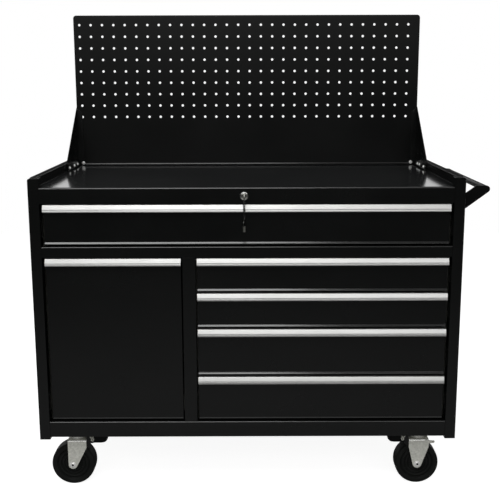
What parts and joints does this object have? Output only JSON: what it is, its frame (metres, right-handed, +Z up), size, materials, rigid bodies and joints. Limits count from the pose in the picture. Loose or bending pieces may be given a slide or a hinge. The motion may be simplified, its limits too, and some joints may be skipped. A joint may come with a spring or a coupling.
{
  "type": "tool trolley",
  "caption": "Black steel tool trolley with full-width drawer pulls, a tray top, an upright pegboard, a side push handle and swivel casters.",
  "frame": {"origin": "on the floor, under the middle of the trolley's overall box, push handle and key included", "axes": "+Z up, -Y out of the drawer fronts, +X towards the push handle"},
  "size_m": [1.29, 0.685, 1.389],
  "materials": {
    "black_paint": "semi-gloss black enamel with a faint orange peel",
    "inner_paint": "satin black enamel",
    "pull_aluminium": "satin anodised extrusion, brushed lengthwise",
    "zinc_plate": "dull bright zinc plating",
    "chrome_plate": "polished",
    "key_steel": "nickel-plated",
    "axle_steel": "zinc-plated bolt",
    "wheel_rubber": "hard black rubber",
    "pedal_plastic": "moulded black"
  },
  "bodies": {
    "root": {"left_front_post": "black_paint", "right_front_post": "black_paint", "left_side_panel": "black_paint", "right_side_panel": "black_paint", "left_gusset": "black_paint", "right_gusset": "black_paint", "back_panel": "black_paint", "floor_panel": "inner_paint", "divider": "black_paint", "tray": "black_paint", "pegboard": "black_paint", "top_rail": "black_paint", "middle_rail": "black_paint", "bottom_rail": "black_paint", "front_handle_arm": "black_paint", "rear_handle_arm": "black_paint", "handle_bar": "black_paint", "left_slide_rack": "zinc_plate", "right_slide_rack": "zinc_plate", "divider_left_rack": "zinc_plate", "divider_right_rack": "zinc_plate", "lock_housing": "chrome_plate", "front_left_caster_plate": "zinc_plate", "front_right_caster_plate": "zinc_plate", "rear_left_caster_plate": "zinc_plate", "rear_right_caster_plate": "zinc_plate"},
    "top_drawer": {"top_drawer_box": "black_paint", "top_drawer_pull": "pull_aluminium"},
    "deep_drawer": {"deep_drawer_box": "black_paint", "deep_drawer_pull": "pull_aluminium"},
    "side_drawer_1": {"side_drawer_1_box": "black_paint", "side_drawer_1_pull": "pull_aluminium"},
    "side_drawer_2": {"side_drawer_2_box": "black_paint", "side_drawer_2_pull": "pull_aluminium"},
    "side_drawer_3": {"side_drawer_3_box": "black_paint", "side_drawer_3_pull": "pull_aluminium"},
    "side_drawer_4": {"side_drawer_4_box": "black_paint", "side_drawer_4_pull": "pull_aluminium"},
    "lock_core": {"lock_plug": "chrome_plate", "lock_cam": "zinc_plate", "key": "key_steel"},
    "front_left_swivel": {"front_left_fork": "zinc_plate", "front_left_axle": "axle_steel"},
    "front_left_roller": {"front_left_wheel": "wheel_rubber"},
    "front_right_swivel": {"front_right_fork": "zinc_plate", "front_right_axle": "axle_steel"},
    "front_right_roller": {"front_right_wheel": "wheel_rubber"},
    "rear_left_swivel": {"rear_left_fork": "zinc_plate", "rear_left_axle": "axle_steel"},
    "rear_left_roller": {"rear_left_wheel": "wheel_rubber"},
    "rear_right_swivel": {"rear_right_fork": "zinc_plate", "rear_right_axle": "axle_steel"},
    "rear_right_roller": {"rear_right_wheel": "wheel_rubber"},
    "front_left_pedal": {"front_left_brake_pedal": "pedal_plastic"},
    "front_right_pedal": {"front_right_brake_pedal": "pedal_plastic"}
  },
  "joints": [
    {"name": "top_drawer_slide", "type": "slide", "parent": "root", "child": "top_drawer", "axis": [0, -1, 0], "range_m": [0, 0.45]},
    {"name": "deep_drawer_slide", "type": "slide", "parent": "root", "child": "deep_drawer", "axis": [0, -1, 0], "range_m": [0, 0.45]},
    {"name": "side_drawer_1_slide", "type": "slide", "parent": "root", "child": "side_drawer_1", "axis": [0, -1, 0], "range_m": [0, 0.45]},
    {"name": "side_drawer_2_slide", "type": "slide", "parent": "root", "child": "side_drawer_2", "axis": [0, -1, 0], "range_m": [0, 0.45]},
    {"name": "side_drawer_3_slide", "type": "slide", "parent": "root", "child": "side_drawer_3", "axis": [0, -1, 0], "range_m": [0, 0.45]},
    {"name": "side_drawer_4_slide", "type": "slide", "parent": "root", "child": "side_drawer_4", "axis": [0, -1, 0], "range_m": [0, 0.45]},
    {"name": "lock_turn", "type": "hinge", "parent": "root", "child": "lock_core", "pos_m": [-0.052, -0.3125, 0.865], "axis": [0, -1, 0], "range_deg": [0, 90]},
    {"name": "front_left_swivel_turn", "type": "hinge", "parent": "root", "child": "front_left_swivel", "pos_m": [-0.548, -0.2475, 0.14], "axis": [0, 0, 1], "continuous": true},
    {"name": "front_left_wheel_spin", "type": "hinge", "parent": "front_left_swivel", "child": "front_left_roller", "pos_m": [-0.5605, -0.2475, 0.0635], "axis": [0, 1, 0], "continuous": true},
    {"name": "front_right_swivel_turn", "type": "hinge", "parent": "root", "child": "front_right_swivel", "pos_m": [0.458, -0.2475, 0.14], "axis": [0, 0, 1], "continuous": true},
    {"name": "front_right_wheel_spin", "type": "hinge", "parent": "front_right_swivel", "child": "front_right_roller", "pos_m": [0.455, -0.2475, 0.0635], "axis": [0, 1, 0], "continuous": true},
    {"name": "rear_left_swivel_turn", "type": "hinge", "parent": "root", "child": "rear_left_swivel", "pos_m": [-0.548, 0.2775, 0.14], "axis": [0, 0, 1], "continuous": true},
    {"name": "rear_left_wheel_spin", "type": "hinge", "parent": "rear_left_swivel", "child": "rear_left_roller", "pos_m": [-0.5605, 0.2775, 0.0635], "axis": [0, 1, 0], "continuous": true},
    {"name": "rear_right_swivel_turn", "type": "hinge", "parent": "root", "child": "rear_right_swivel", "pos_m": [0.458, 0.2775, 0.14], "axis": [0, 0, 1], "continuous": true},
    {"name": "rear_right_wheel_spin", "type": "hinge", "parent": "rear_right_swivel", "child": "rear_right_roller", "pos_m": [0.455, 0.2775, 0.0635], "axis": [0, 1, 0], "continuous": true},
    {"name": "front_left_brake_press", "type": "hinge", "parent": "front_left_swivel", "child": "front_left_pedal", "pos_m": [-0.526, -0.2475, 0.131], "axis": [0, 1, 0], "range_deg": [0, 12]},
    {"name": "front_right_brake_press", "type": "hinge", "parent": "front_right_swivel", "child": "front_right_pedal", "pos_m": [0.436, -0.2475, 0.131], "axis": [0, -1, 0], "range_deg": [0, 12]}
  ]
}
